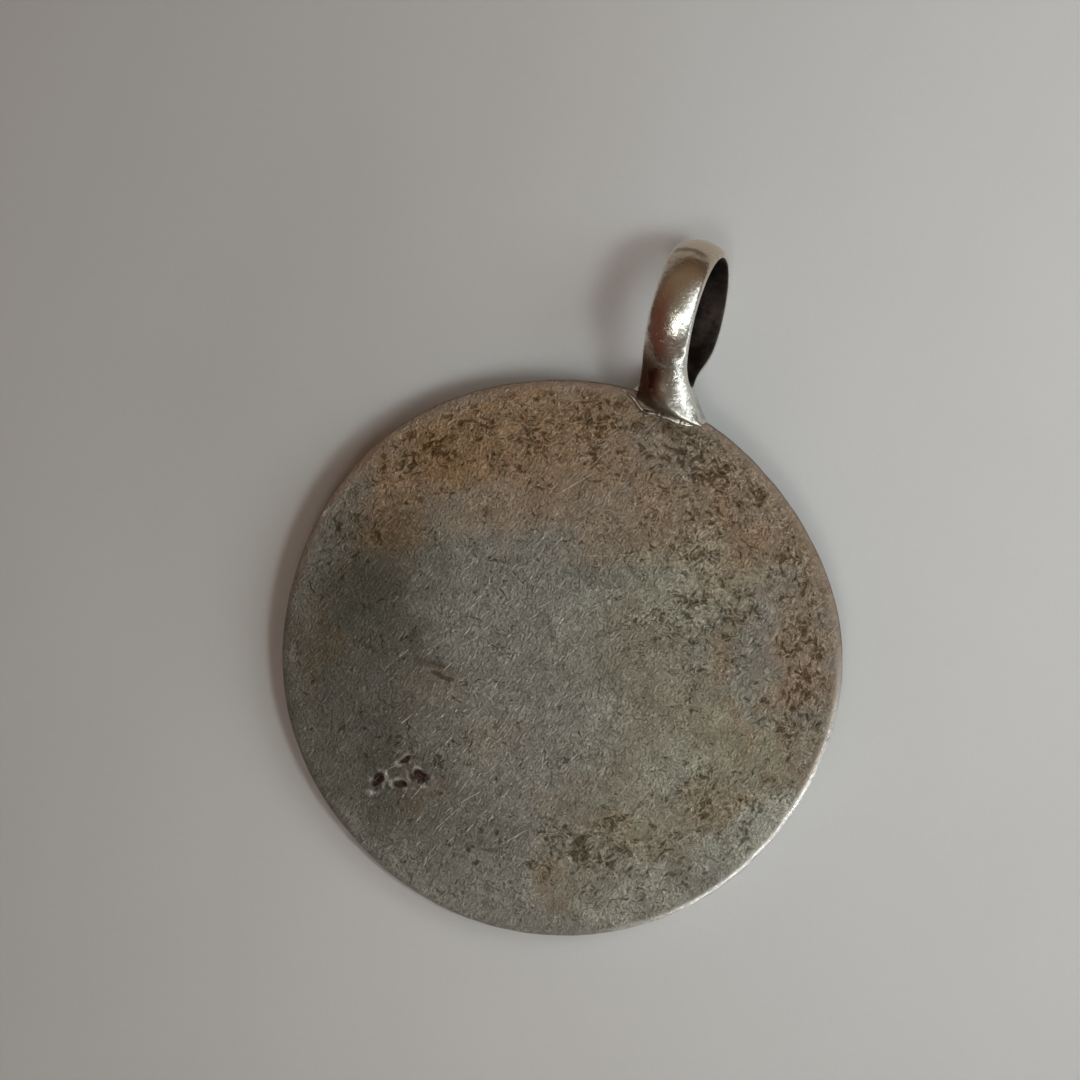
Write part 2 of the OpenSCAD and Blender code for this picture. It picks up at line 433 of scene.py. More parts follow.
def disc_points(sizes):
    """Flat millimetre points and faces of the disc, and what its material reads from its points."""
    count = sizes.rim_points
    angles = np.arange(count) * 2 * math.pi / count
    radius, width = outline_radius(angles, sizes), edge_width(angles, sizes)
    half = sizes.disc_thickness / MM / 2
    back_drop, face_drop = BACK_BEVEL * sizes.edge_round / MM, sizes.edge_round / MM
    around = np.stack([np.cos(angles), np.sin(angles)], 1)
    nicks = waves(around * radius[:, None], RIM_NICKS)

    loops = []
    for index, step in enumerate(np.concatenate([BACK_STEPS, FACE_STEPS])):
        on_back = index < len(BACK_STEPS)
        bend = 1 + FACET_FLATNESS * edge_facet(angles) * on_back
        reach = radius + nicks * math.cos(step) - width * (1 - max(math.cos(step), 0) ** bend)
        drop = back_drop if on_back else face_drop
        height = half - drop * (1 - abs(math.sin(step)) ** bend)
        loops.append(np.column_stack([around * reach[:, None], height if on_back else -height]))

    # Inside the worn edge, with finer faces round the deep dents
    def by_dents(points):
        return np.hypot(*(to_clock(points) - PUNCH_MIDDLE).T) < PUNCH_REACH

    def inside(points, gap):
        place = np.arctan2(points[:, 1], points[:, 0]) % (2 * math.pi)
        inner_radius = np.append(radius - width, radius[0] - width[0])
        limit = np.interp(place, np.append(angles, 2 * math.pi), inner_radius)
        return points[np.hypot(points[:, 0], points[:, 1]) < limit - gap]

    spacing, square = sizes.back_spacing / MM, sizes.disc_radius / MM + 1
    coarse, fine = lattice(spacing, square), lattice(spacing / 2, square)
    back = inside(np.vstack([coarse[~by_dents(coarse)], fine[by_dents(fine)]]), 0.6 * spacing)
    face = inside(lattice(sizes.face_spacing / MM, square), 1.2 * spacing)

    points = np.vstack([*loops, np.column_stack([back, np.full(len(back), half)]),
                        np.column_stack([face, np.full(len(face), -half)])])
    first_back = len(loops) * count
    first_face = first_back + len(back)
    last = (len(loops) - 1) * count

    faces = []
    for level in range(len(loops) - 1):
        for i in range(count):
            here, following = level * count + i, level * count + (i + 1) % count
            faces.append((here, here + count, following + count, following))
    for corners in filled(loops[0][:, :2], back):
        faces.append([c if c < count else c - count + first_back for c in corners])
    for corners in filled(loops[-1][:, :2], face):
        faces.append([last + c if c < count else c - count + first_face for c in corners[::-1]])

    # Relief fades out over the worn edge, and the face keeps a plain finish
    place = np.arctan2(points[:, 1], points[:, 0])
    from_edge = outline_radius(place, sizes) - np.hypot(points[:, 0], points[:, 1])
    values = back_values(points, from_edge)
    fade = np.zeros(len(points))
    fade[first_back:first_face] = 1
    for level, step in enumerate(BACK_STEPS):
        fade[level * count:(level + 1) * count] = math.sin(step)
    relief = values.pop("relief") * fade
    relief[first_face:] = waves(points[first_face:, :2], FACE_WAVES)
    near_back = smooth(points[:, 2], -0.2, 0.3)
    points[:, 2] += relief
    values = {name: value * near_back for name, value in values.items()}
    values["from_edge"] = from_edge
    return points, faces, values


# Bail

# Angles round the ring from the side nearest the disc, over the back: where the foot runs out
# into the band on both sides, and where it goes into the disc and comes out of it again
FOOT_TOP = 50
FOOT_UNDER = -22
FOOT_IN = -6
FOOT_OUT = 8

# How much narrower, in mm, the right half of the band is where it comes down to the disc's front,
# the angle of that place and its reach in degrees
NARROWER = 0.28
NARROW_MIDDLE = 326
NARROW_REACH = 22

# Where the foot's left edge, middle and right edge stand on the back of the disc: flat x and y
FOOT_LEFT = (-1.06, 13.62)
FOOT_CROWN = (1.90, 13.40)
FOOT_RIGHT = (2.50, 13.68)

# The same inside the disc, and where the foot's front runs into the rim, each at a height
FOOT_BURIED = [
    (0.25, (-1.55, 13.5), (0.5, 13.05), (2.95, 13.52)),
    (0.0, (-1.5, 13.5), (0.5, 13.1), (2.9, 13.5)),
    (-0.2, (-1.0, 13.6), (0.5, 13.4), (2.2, 13.6)),
]
FOOT_FRONT = (-0.3, (-0.7, 13.75), (0.5, 13.7), (1.7, 13.75))

# Height of the foot's middle above the disc's back at the seam, the way in which its right edge,
# middle and left edge leave the back, and the way in which its front runs into the rim
FOOT_LIP = 0.20
FOOT_LIFTS = [(-0.25, 0.36, 0.05), (-2.00, 0.10, 1.55), (0.05, 0.38, 0.60)]
FRONT_PULL = 0.55
FRONT_DROP = (0, 0.1, -0.35)

# Sections of the band, by their distance in degrees, and of the foot's front and back
BAND_STEP = 1.5
FRONT_SECTIONS = 14
BACK_SECTIONS = 24

# Solder along the seam: flat x and y, steps along it, how often its path is smoothed, its sides,
# the steps over which an end tapers, and how uneven it is
SEAM = [
    (-1.75, 13.86), (-1.35, 13.72), (-1.02, 13.56), (-0.62, 13.27), (-0.36, 13.16), (0.0, 13.22),
    (0.32, 13.28), (0.6, 13.24), (0.9, 13.3), (1.2, 13.22), (1.5, 13.26), (1.85, 13.27),
    (2.2, 13.42), (2.48, 13.62), (2.7, 13.78),
]
SEAM_STEPS = 90
SEAM_SMOOTHINGS = 6
SEAM_SIDES = 10
SEAM_TAPER = 14
SEAM_WAVES = [(0.45, 0.4, 21), (0.3, 0.17, 22)]

# Relief of the bail, with hammer marks that are stronger towards the foot
BAIL_WAVES = [(0.012, 1.5, 3)]
HAMMERED = [(0.020, 0.55, 9), (0.010, 0.28, 14)]

# How far the corners of the band's section are rounded, at most by a share of its side
CORNER_INNER = 0.10
CORNER_OUTER = 0.16
CORNER_SHARE = 0.45


def bezier(start, start_pull, end_pull, end, share):
    """Point on a cubic curve, at a share of its way."""
    rest = 1 - share
    return (rest ** 3 * start + 3 * rest * rest * share * start_pull
            + 3 * rest * share * share * end_pull + share ** 3 * end)


def bail_rows(sizes):
    """One row for each section of the bail: inner left and right, outer right, crown, outer left."""
    middle = np.array(hole_middle(sizes))
    along = np.array(hole_direction(sizes))
    away = np.array((-math.sin(sizes.bail_lean), math.cos(sizes.bail_lean), 0))
    up = np.cross(along, away)
    hole, half = sizes.hole_radius / MM, sizes.band_width / MM / 2
    edge, crown = sizes.band_edge / MM, sizes.band_thickness / MM

    def at(turn, reach, across):
        turn = math.radians(turn)
        return middle + reach * (up * math.sin(turn) - away * math.cos(turn)) + along * across

    def onward(turn):
        turn = math.radians(turn)
        return up * math.cos(turn) + away * math.sin(turn)

    def right_half(turn):
        """Half width of the band to the right of its crown."""
        return half - NARROWER * math.exp(-((turn % 360 - NARROW_MIDDLE) / NARROW_REACH) ** 2)

    def ring_row(turn):
        wide = right_half(turn)
        return (at(turn, hole, -half), at(turn, hole, wide), at(turn, hole + edge, wide),
                at(turn, hole + crown, 0), at(turn, hole + edge, -half))

    def inner(turn):
        return at(turn, hole, -half), at(turn, hole, right_half(turn))

    def standing(height, left, crown_spot, right):
        return [np.array((*spot, height)) for spot in (right, crown_spot, left)]

    top = sizes.disc_thickness / MM / 2
    rows = [ring_row(turn) for turn in np.arange(FOOT_TOP, 360 + FOOT_UNDER, BAND_STEP)]

    # Front: the band runs into the rim from below
    under = ring_row(360 + FOOT_UNDER)
    ends = standing(*FOOT_FRONT)
    pull = onward(360 + FOOT_UNDER) * FRONT_PULL
    for share in np.linspace(0, 1, FRONT_SECTIONS):
        turn = FOOT_UNDER + (FOOT_IN - FOOT_UNDER) * share
        outer = [bezier(start, start + pull, end + FRONT_DROP, end, share)
                 for start, end in zip(under[2:], ends)]
        rows.append((*inner(turn), *outer))

    # Inside the disc
    for step, spots in enumerate(reversed(FOOT_BURIED)):
        rows.append((*inner(FOOT_IN + 2 + step * 4), *standing(*spots)))

    # Back: from the seam up to the dome
    over = ring_row(FOOT_TOP)
    starts = standing(top, FOOT_LEFT, FOOT_CROWN, FOOT_RIGHT)
    starts[1][2] += FOOT_LIP
    pull = onward(FOOT_TOP)
    for share in np.linspace(0, 1, BACK_SECTIONS)[:-1]:
        turn = FOOT_OUT + (FOOT_TOP - FOOT_OUT) * share
        outer = [bezier(start, start + lift, end - pull, end, share)
                 for start, lift, end in zip(starts, FOOT_LIFTS, over[2:])]
        rows.append((*inner(turn), *outer))
    return rows


def bail_section(row):
    """Points round one section: the inner wall, the right side, the dome and the left side."""
    inner_left, inner_right, right, crown, left = row

    def dome(share):
        across = 1 - 2 * share
        return crown + across * (right - left) / 2 + across ** 2 * ((right + left) / 2 - crown)

    sides = [
        (lambda share: inner_left + share * (inner_right - inner_left), inner_left, inner_right, 8),
        (lambda share: inner_right + share * (right - inner_right), inner_right, right, 4),
        (dome, right, left, 18),
        (lambda share: left + share * (inner_left - left), left, inner_left, 4),
    ]
    corners = [CORNER_INNER, CORNER_INNER, CORNER_OUTER, CORNER_OUTER]
    points = []
    for index, (side, start, end, steps) in enumerate(sides):
        following, next_start, next_end, _ = sides[(index + 1) % 4]
        corner, next_corner = corners[index], corners[(index + 1) % 4]
        length, next_length = np.linalg.norm(end - start), np.linalg.norm(next_end - next_start)
        first = min(corner / length, CORNER_SHARE)
        last = 1 - min(next_corner / length, CORNER_SHARE)
        points += [side(share) for share in np.linspace(first, last, steps + 1)]
        corner_end = following(min(next_corner / next_length, CORNER_SHARE))
        for share in (0.25, 0.5, 0.75):
            rest = 1 - share
            point = rest * rest * side(last) + 2 * rest * share * end + share * share * corner_end
            points.append(point)
    return points


def swept(rings, closed_path):
    """Faces over rings of equal length; an open path gets its two ends filled."""
    levels, count = len(rings), len(rings[0])
    faces = []
    for level in range(levels if closed_path else levels - 1):
        for i in range(count):
            here, following = level * count + i, level * count + (i + 1) % count
            onward = ((level + 1) % levels) * count
            faces.append((here, following, onward + (i + 1) % count, onward + i))
    if not closed_path:
        faces.append(tuple(range(count))[::-1])
        faces.append(tuple((levels - 1) * count + i for i in range(count)))
    return faces


def outward(rings):
    """Unit normals of rings swept round a closed path."""
    along = np.roll(rings, -1, 0) - np.roll(rings, 1, 0)
    around = np.roll(rings, -1, 1) - np.roll(rings, 1, 1)
    normal = np.cross(around, along)
    return normal / np.maximum(np.linalg.norm(normal, axis=2, keepdims=True), 1e-9)


def bail_points(sizes):
    """Flat millimetre points and faces of the bail, slightly uneven as filed by hand."""
    rings = np.array([bail_section(row) for row in bail_rows(sizes)])
    normal = outward(rings)
    shape = rings.shape
    flat = rings.reshape(-1, 3)
    middle = np.array(hole_middle(sizes))
    toward_foot = smooth(middle[1] - flat[:, 1], -1.0, 1.0)
    uneven = waves(flat, BAIL_WAVES, ripple_3d)
    uneven += (0.3 + 0.7 * toward_foot) * waves(flat, HAMMERED, ripple_3d)
    hole = np.linalg.norm(np.cross(flat - middle, np.array(hole_direction(sizes))), axis=1)
    uneven *= smooth(hole, sizes.hole_radius / MM + 0.02, sizes.hole_radius / MM + 0.25)
    rings = rings + normal * uneven.reshape(shape[0], shape[1], 1)
    return rings.reshape(-1, 3), swept(rings, True)


def seam_points(sizes):
    """Flat millimetre points and faces of the solder along the seam."""
    spots = np.array(SEAM)
    steps = np.linspace(0, len(spots) - 1, SEAM_STEPS)
    path = np.column_stack([np.interp(steps, np.arange(len(spots)), spots[:, k]) for k in (0, 1)])
    for _ in range(SEAM_SMOOTHINGS):
        path[1:-1] = (path[:-2] + 2 * path[1:-1] + path[2:]) / 4
    top = sizes.disc_thickness / MM / 2
    from_end = np.minimum(np.arange(SEAM_STEPS), np.arange(SEAM_STEPS)[::-1])
    thick = sizes.seam_radius / MM * (1 + waves(path, SEAM_WAVES))
    thick *= 0.35 + 0.65 * smooth(from_end, 0, SEAM_TAPER)
    centre = np.column_stack([path, np.full(SEAM_STEPS, top + 0.01)])
    forward = np.gradient(centre, axis=0)
    forward /= np.linalg.norm(forward, axis=1, keepdims=True)
    side = np.cross(forward, (0, 0, 1))
    turns = np.arange(SEAM_SIDES) * 2 * math.pi / SEAM_SIDES
    rings = np.array([
        [c + t * (s * math.cos(a) + np.array((0, 0, 1)) * math.sin(a)) for a in turns]
        for c, s, t in zip(centre, side, thick)
    ])
    return rings.reshape(-1, 3), swept(rings, False)


# Meshes


def new_piece(name, points, faces, sizes, values=None):
    """A mesh object in metres in the row frame, with its values stored on its points."""
    mesh = bpy.data.meshes.new(name)
    mesh.from_pydata(lay_down(points, sizes).tolist(), [], [list(map(int, face)) for face in faces])
    for key in VALUES_READ:
        stored = mesh.attributes.new(key, "FLOAT", "POINT")
        spread = values[key] if values else np.zeros(len(points))
        stored.data.foreach_set("value", spread.astype(np.float32))
    mesh.update()
    piece = bpy.data.objects.new(name, mesh)
    bpy.context.scene.collection.objects.link(piece)
    return piece


def point_outward(piece):
    """Turns a closed mesh the right way out."""
    mesh = piece.data
    corners = np.array([v.co for v in mesh.vertices])
    mesh.calc_loop_triangles()
    triangles = np.array([t.vertices for t in mesh.loop_triangles])
    a, b, c = (corners[triangles[:, k]] for k in range(3))
    volume = np.einsum("ij,ij->i", a, np.cross(b, c)).sum() / 6
    if volume < 0:
        mesh.flip_normals()
    mesh.update()


def soldered(first, others):
    """One solid out of several, by exact union."""
    for other in others:
        union = first.modifiers.new("solder", "BOOLEAN")
        union.operation = "UNION"
        union.solver = "EXACT"
        union.material_mode = "TRANSFER"
        union.object = other
    graph = bpy.context.evaluated_depsgraph_get()
    mesh = bpy.data.meshes.new_from_object(first.evaluated_get(graph))
    first.modifiers.clear()
    old = first.data
    first.data = mesh
    bpy.data.meshes.remove(old)
    for other in others:
        mesh = other.data
        bpy.data.objects.remove(other)
        bpy.data.meshes.remove(mesh)
    return first


# Shading


class Value:
    """A shader socket that can stand in a Python expression: each sum or product adds a node."""

    def __init__(self, shading, socket):
        self.shading, self.socket = shading, socket

    def __add__(self, other):
        return self.shading.maths("ADD", self, other)

    __radd__ = __add__

    def __mul__(self, other):
        return self.shading.maths("MULTIPLY", self, other)

    __rmul__ = __mul__

    def __sub__(self, other):
        return self.shading.maths("SUBTRACT", self, other)

    def __rsub__(self, other):
        return self.shading.maths("SUBTRACT", other, self)

    def __truediv__(self, other):
        return self.shading.maths("DIVIDE", self, other)

    def __rtruediv__(self, other):
        return self.shading.maths("DIVIDE", other, self)

    def __abs__(self):
        return self.shading.maths("ABSOLUTE", self)


class Shading:
    """The node tree of one material or world."""

    def __init__(self, owner):
        owner.use_nodes = True
        self.tree = owner.node_tree
        self.tree.nodes.clear()

    def node(self, kind, settings=None, sockets=None):
        """A node of a type: its settings first, then values or links for its sockets."""
        node = self.tree.nodes.new(kind)
        for key, value in (settings or {}).items():
            setattr(node, key, value)
        for key, value in (sockets or {}).items():
            if isinstance(value, Value):
                self.tree.links.new(value.socket, node.inputs[key])
            else:
                node.inputs[key].default_value = value
        return node

    def value(self, kind, settings=None, sockets=None, output=0):
        """The output of a new node."""
        return Value(self, self.node(kind, settings, sockets).outputs[output])

    def maths(self, operation, *values):
        """A Math node over values or numbers."""
        return self.value("ShaderNodeMath", {"operation": operation}, dict(enumerate(values)))

    def vector(self, operation, first, second=None, output=0):
        """A Vector Math node."""
        sockets = {0: first} if second is None else {0: first, 1: second}
        return self.value("ShaderNodeVectorMath", {"operation": operation}, sockets, output)

    def length(self, vector):
        return self.vector("LENGTH", vector, output="Value")

    def dot(self, first, second):
        return self.vector("DOT_PRODUCT", first, second, output="Value")

    def between(self, value, low, high):
        """0 at low, 1 at high and a soft step between them; low may be the greater."""
        sockets = {"Value": value, "From Min": low, "From Max": high}
        if low > high:
            sockets = {"Value": value, "From Min": high, "From Max": low, "To Min": 1.0, "To Max": 0.0}
        return self.value("ShaderNodeMapRange", {"interpolation_type": "SMOOTHSTEP"}, sockets)

    def mixed(self, share, first, second, way="MIX"):
        """Colours mixed by a share."""
        settings = {"data_type": "RGBA", "blend_type": way, "clamp_factor": True}
        return self.value("ShaderNodeMix", settings, {0: share, 6: first, 7: second}, 2)

    def painted(self, colour, *coats):
        """A colour under coats of others, each given as its share and its colour."""
        for share, coat in coats:
            colour = self.mixed(share, colour, coat)
        return colour

    def noise(self, place, size, detail=2.0, rough=0.5, warp=0.0):
        """Cloudy noise round 0.5, with clouds about size across."""
        sockets = {"Vector": place, "Scale": 1 / size, "Detail": detail, "Roughness": rough}
        return self.value("ShaderNodeTexNoise", None, {**sockets, "Distortion": warp}, "Fac")

    def shifted(self, place, x, y, z=0.0):
        """The place moved aside, so that two noises or scratches don't lie on each other."""
        return self.vector("ADD", place, (x, y, z))

    def part(self, place, axis):
        """One coordinate of a place: 0, 1 or 2."""
        return self.value("ShaderNodeSeparateXYZ", None, {0: place}, axis)

    def joined(self, kind, *values):
        """One colour or vector out of three values."""
        return self.value(kind, None, dict(enumerate(values)))

    def bump(self, height):
        """Normal of a surface with a height in millimetres."""
        sockets = {"Height": height, "Strength": 1.0, "Distance": MM}
        return self.value("ShaderNodeBump", None, sockets, "Normal")

    def finish(self, output, shader, sockets):
        """Ends the tree with a shader and its output."""
        self.node(output, None, {"Surface": self.value(shader, None, sockets)})

    def blob(self, place, x, y, half_length, half_width, turn):
        """1 in the middle of a soft oval and 0 outside it."""
        sockets = {
            "Vector": place,
            "Location": (x, y, 0),
            "Rotation": (0, 0, math.radians(turn)),
            "Scale": (half_length, half_width, 1),
        }
        local = self.value("ShaderNodeMapping", {"vector_type": "TEXTURE"}, sockets)
        return self.between(self.length(local), 1.0, 0.2)

    def blobs(self, place, table):
        """Sum of soft ovals, each with its strength."""
        total = 0.0
        for *oval, strength in table:
            total = self.blob(place, *oval) * strength + total
        return total

    def strokes(self, place, cell, length, width, turn, spread, share):
        """Short straight scratches, one in some of the cells of a random pattern."""
        settings = {"voronoi_dimensions": "2D", "feature": "F1"}
        cells = self.node("ShaderNodeTexVoronoi", settings, {"Vector": place, "Scale": 1 / cell})
        middle = Value(self, cells.outputs["Position"])
        dice = Value(self, cells.outputs["Color"])
        red, green, blue = (self.value("ShaderNodeSeparateColor", None, {0: dice}, k) for k in range(3))
        angle = (red - 0.5) * (-2 * math.radians(spread)) - math.radians(turn)
        sockets = {"Vector": self.vector("SUBTRACT", place, middle), "Angle": angle}
        local = self.value("ShaderNodeVectorRotate", {"rotation_type": "Z_AXIS"}, sockets)
        along, across = self.part(local, 0), self.part(local, 1)
        reach = abs(along) / (green * 0.8 + 0.35)
        line = self.between(reach, length, length * 0.5) * self.between(abs(across), width, width * 0.25)
        return line * self.between(blue, 1 - share, 1.02 - share)


def linear(*colour):
    """A colour given as eight-bit screen values, as linear light with full alpha."""
    return (*(((c / 255 + 0.055) / 1.055) ** 2.4 for c in colour), 1.0)


def flat_place(shading, sizes, clock, middle):
    """Place on the flat pendant in millimetres from a middle, turned by the clock angle."""
    tilt, shift = resting_place(sizes)
    turn = Euler((-tilt, 0, -clock))
    sockets = {
        "Vector": shading.value("ShaderNodeTexCoord", output="Object"),
        "Scale": (1 / MM, 1 / MM, 1 / MM),
        "Rotation": turn,
        "Location": -(turn.to_matrix() @ shift) - middle,
    }
    return shading.value("ShaderNodeMapping", {"vector_type": "POINT"}, sockets)


def add_tarnish(sizes, finish):
    """Material of the disc: tarnished, pitted and finely scratched silver, with painted shade and
    painted highlights.
    """
    material = bpy.data.materials.new("tarnished_silver")
    shading = Shading(material)
    space = flat_place(shading, sizes, CLOCK_TURN, Vector())
    place = shading.vector("MULTIPLY", space, (1, 1, 0))
    # With its depth below the back, so that nothing is drawn out into streaks down the rim
    deep = shading.shifted(space, 0, 0, -sizes.disc_thickness / MM / 2)
    on = {
        name: shading.value("ShaderNodeAttribute", {"attribute_name": name}, None, "Fac")
        for name in VALUES_READ
    }

    # Felt-like grain, curly and cloudy mottling
    pitted, from_edge = on["pitted"], on["from_edge"]
    grains = []
    for x, y, *settings, spread in GRAINS.values():
        grain = shading.noise(shading.shifted(deep, x, y), *settings)
        grains.append(shading.between(grain, *spread) if spread else grain)
    small, gate, cloud, broad, clump, felt, curl, patch = grains
    felt, curl, patch = felt - 0.5, curl - 0.5, patch - 0.5
    busy = pitted - on["dark"] * 0.25 - on["rose"] * 0.5 + 0.9
    busy = busy * (shading.between(gate, 0.34, 0.66) * 0.45 + clump * 0.30 + 0.55)
    fibre_place = shading.value("ShaderNodeMapping", {"vector_type": "TEXTURE"}, {
        "Vector": deep, "Rotation": (0, 0, math.radians(48)), "Scale": (2.4, 1.0, 1.0)})
    fibre = shading.between(shading.noise(fibre_place, 0.15, 2.0, 0.6, 0.9), 0.33, 0.67) - 0.5

    # Winding ridges with pits between them, drawn out along the rim
    angle = shading.maths("ARCTAN2", shading.part(place, 1), shading.part(place, 0))
    along_rim = angle * (RIM_PITS_RADIUS / PIT_STRETCH)
    rim_place = shading.joined(
        "ShaderNodeCombineXYZ", shading.length(place), along_rim, shading.part(deep, 2))
    winding = shading.noise(rim_place, 0.58, 3.0, 0.55, 1.3)
    off_ridge = abs(winding - 0.5)
    eaten = off_ridge + pitted * 0.12 + (gate - 0.5) * 0.20 + (clump - 0.5) * 0.07 + felt * 0.10
    pit = shading.between(eaten, 0.14, 0.235) * shading.between(from_edge, 0.35, 0.8)
    ridge = shading.between(off_ridge, 0.050, 0.0) * pitted
    vein = shading.between(abs(small - 0.56), 0.030, 0.0) * (pitted * 0.7 + 0.3)
    nick = shading.between(abs(small - 0.47), 0.016, 0.004)
    nick = nick * shading.between(gate + pitted * 0.2, 0.52, 0.64)
    knock = shading.between(on["knocked"] + felt * 0.8, 0.2, 0.8)
    punch = shading.between(on["punched"] + felt * 0.4, 0.2, 0.7)

    # Scratches
    fine, middling, long, crossing = (
        shading.strokes(shading.shifted(place, x, y), *settings)
        for x, y, *settings in SCRATCHES.values()
    )
    many = on["scratched"] * 0.8 + 0.2
    scratch = (fine * 0.6 + middling + crossing * 0.7) * many + long * (many * 0.5 + 0.4)
    bunches = shading.between(gate, 0.42, 0.60) * 0.9 + 0.15
    bunches = bunches * shading.between(from_edge, 0.02, 0.15)
    scratch = scratch * bunches * (1.6 - on["dark"] * 0.8)
    # Painted highlights: the lips round the punched dents and the glint on the upper-left rim are drawn
    # like bright scratches
    scratch = scratch + shading.blobs(place, BRIGHT) * 0.8 + on["lips"] * 0.7

    # Colour
    olive = on["olive"] * (cloud + 0.5) + clump * 0.12
    patchy = cloud * 0.5 + patch * 0.20 + 0.70
    colour = shading.painted(
        finish.grey_tarnish,
        (olive, finish.olive_tarnish),
        (on["brushed"] * (curl + 0.9), finish.brushed),
        (on["brown"] * patchy, finish.brown_tarnish),
        (on["rose"] * (cloud * 0.8 + 0.5), finish.rose_tarnish),
    )
    grain = curl * 0.36 + fibre * 0.24 + felt * 1.10 + patch * 0.22
    # Painted shade: the dark share darkens the left of the disc, besides its dark tarnish
    shade = (1 - on["dark"] * 0.6) * (cloud * 0.65 + broad * 0.35 + 0.5) * (grain * busy + 1)
    # Painted highlight: the ridges between the pits and the thin veins are lightened, as relief that
    # catches the light
    shade = shade * (1 + vein * 0.45 + ridge * 0.52)
    shade = shade * (1 - nick * 0.6) * (1 - knock * 0.55) * (1 - pit * 0.40)
    # Light and dark go half by a product and half by a sum, which leaves their hue alone
    product, added = (shade - 1) * 0.58 + 1, (shade - 1) * 0.13
    for way, share in {"MULTIPLY": product, "ADD": added}.items():
        grey = shading.joined("ShaderNodeCombineColor", share, share, share)
        colour = shading.mixed(1.0, colour, grey, way)
    upper_rim = shading.between(shading.dot(place, (0.45, 0.89, 0.0)), -6.0, 3.0)
    ragged_edge = from_edge + felt * 0.5 + (cloud - 0.5) * 1.3
    bevel = shading.between(ragged_edge, 0.60, 0.15) * upper_rim
    # Painted shade: a thin dark line along the upper outline of the disc
    rim_shade_line = shading.between(from_edge, 0.07, 0.02) * upper_rim
    rubbed = shading.between(from_edge, 0.36, 0.14) * shading.blob(place, *RUBBED)
    colour = shading.painted(
        colour,
        (pit * 0.45, finish.pit),
        (punch * 0.85, finish.rust),
        (scratch, finish.scratch),
        (bevel * 0.6, finish.bevel),
        (rim_shade_line * 0.5, finish.pit),
        (rubbed, finish.silver),
    )

    # Gloss
    roughness = 0.47 + felt * 0.2 - scratch * 0.15 + pit * 0.2 + on["dark"] * 0.05
    roughness = roughness - rubbed * 0.27 - punch * 0.25
    metallic = finish.disc_metallic - bevel * 0.3 + rubbed * 0.2
    depth = felt * 0.055 + curl * 0.034 + fibre * 0.026 + vein * 0.018 - nick * 0.02 - scratch * 0.02
    depth = (depth + (ridge - pit) * 0.022) * (1 - rubbed * 0.85)

    shading.finish("ShaderNodeOutputMaterial", "ShaderNodeBsdfPrincipled", {
        "Base Color": colour,
        "Metallic": metallic,
        "Roughness": roughness,
        "Normal": shading.bump(depth),
    })
    return material


def add_polish(sizes, finish):
    """Material of the bail: worn bright outside with painted shade and painted reflections, dark inside
    the hole with tarnish and painted shade.
    """
    material = bpy.data.materials.new("polished_silver")
    shading = Shading(material)
    place = flat_place(shading, sizes, 0, hole_middle(sizes))
    direction = tuple(hole_direction(sizes))
    across = shading.dot(place, direction)
    spread = shading.joined("ShaderNodeCombineXYZ", across, across, across)
    sideways = shading.vector("MULTIPLY", spread, direction)
    reach = shading.length(shading.vector("SUBTRACT", place, sideways))
    # The wall of the hole: dark tarnish and painted shade
    inside = shading.between(reach, sizes.hole_radius / MM + 0.12, sizes.hole_radius / MM + 0.03)

    cloud = shading.noise(place, 1.1, 3.0, 0.6)
    fine = shading.noise(place, 0.22, 3.0, 0.6, 0.4)
    pits = shading.noise(shading.shifted(place, 4, 4), 0.28, 1.0, 0.5, 0.6)
    pit = shading.between(pits, 0.72, 0.78)
    drawn = shading.noise(shading.vector("MULTIPLY", place, (1.0, 0.12, 0.12)), 0.07, 2.0, 0.6)
    low, height = shading.part(place, 1), shading.part(place, 2)
    # Painted shade: the foot is darker along its base by the seam, except at its right corner
    seam_shade = shading.between(low, -3.8, -4.7) * shading.between(across, 1.2, 0.5)
    away = shading.dot(place, (-math.sin(sizes.bail_lean), math.cos(sizes.bail_lean), 0))
    upper = shading.between(height, 0.0, 0.6)
    wavy = away + across * across * 0.30 + (cloud - 0.5) * 0.35
    stained = shading.between(wavy, 1.9, 3.1) * upper
    # Painted reflection: a thin dark arc across the upper far end of the band
    arc = shading.between(abs(wavy - 3.36), 0.15, 0.03) * upper
    arc = arc * shading.between(abs(across + 0.1), 1.0, 0.6)
    # Painted reflection: the dim red-brown room, painted on the lower left of the band and its foot
    crook = shading.between(across + (cloud - 0.5) * 0.6, 0.30, -0.50) * shading.between(low, -1.4, -3.0)
    crook = crook * shading.between(height, 0.93, 1.05)
    cool = shading.between(across + (cloud - 0.5) * 0.8, -0.35, 0.35) * shading.between(away, 1.6, 0.4)

    colour = shading.painted(
        finish.silver,
        (cloud * 0.22, finish.bail_warm),
        (cool * 0.6, finish.bail_cool),
        (stained * 0.7, finish.bail_brown),
        (crook * 0.95, finish.bail_crook),
        (pit * 0.8 + arc * 0.7, finish.pit),
        (seam_shade * (fine + 0.1), finish.pit),
        (inside, shading.mixed(shading.between(cloud, 0.35, 0.65), finish.hole, finish.hole_worn)),
    )
    roughness = 0.15 + cloud * 0.12 + fine * 0.10 + inside * 0.3 + pit * 0.3 + seam_shade * 0.1
    hammered = shading.noise(shading.shifted(place, 8, 2), 0.34, 2.0, 0.5, 1.6)
    depth = (fine - 0.5) * 0.012 + (hammered - 0.5) * 0.013 + (drawn - 0.5) * 0.002 - pit * 0.02

    shading.finish("ShaderNodeOutputMaterial", "ShaderNodeBsdfPrincipled", {
        "Base Color": colour,
        "Metallic": 1.0,
        "Roughness": roughness,
        "Normal": shading.bump(depth),
    })
    return material


